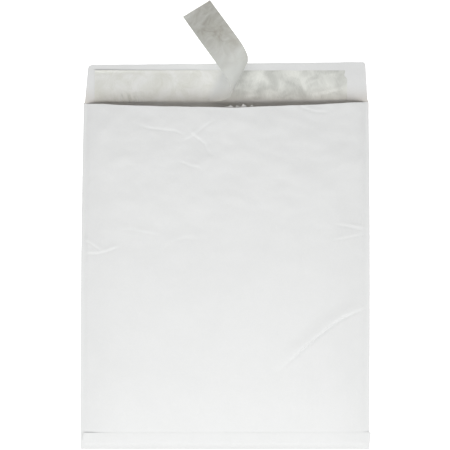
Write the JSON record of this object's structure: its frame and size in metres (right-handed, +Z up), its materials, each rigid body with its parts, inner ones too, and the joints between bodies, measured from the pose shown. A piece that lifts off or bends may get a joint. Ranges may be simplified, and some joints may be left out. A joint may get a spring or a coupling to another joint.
{
  "type": "padded envelope",
  "caption": "Flat self-seal padded envelope with bubble lining, bottom hem, and an open flap whose adhesive strip has its release liner half peeled and curled back.",
  "frame": {"origin": "under the middle of the body, on the plane that the back panel lies on", "axes": "+Z up from the back panel to the front panel, +Y from the bottom hem towards the flap, +X to the right seen from above"},
  "size_m": [0.2582, 0.3997, 0.0367],
  "materials": {
    "spunbonded_sheet": "white spunbonded polyethylene sheet, faintly mottled by its fibres, soft sheen",
    "bubble_film": "translucent white bubble film, glossy",
    "hot_melt": "glossy pressure sensitive hot melt, slightly blotchy",
    "liner_paper": "thin off-white paper, siliconised on the side that met the adhesive"
  },
  "bodies": {
    "root": {"outer_shell": "spunbonded_sheet", "bubble_lining": "bubble_film", "adhesive_strip": "hot_melt", "release_liner": "liner_paper"}
  },
  "joints": []
}
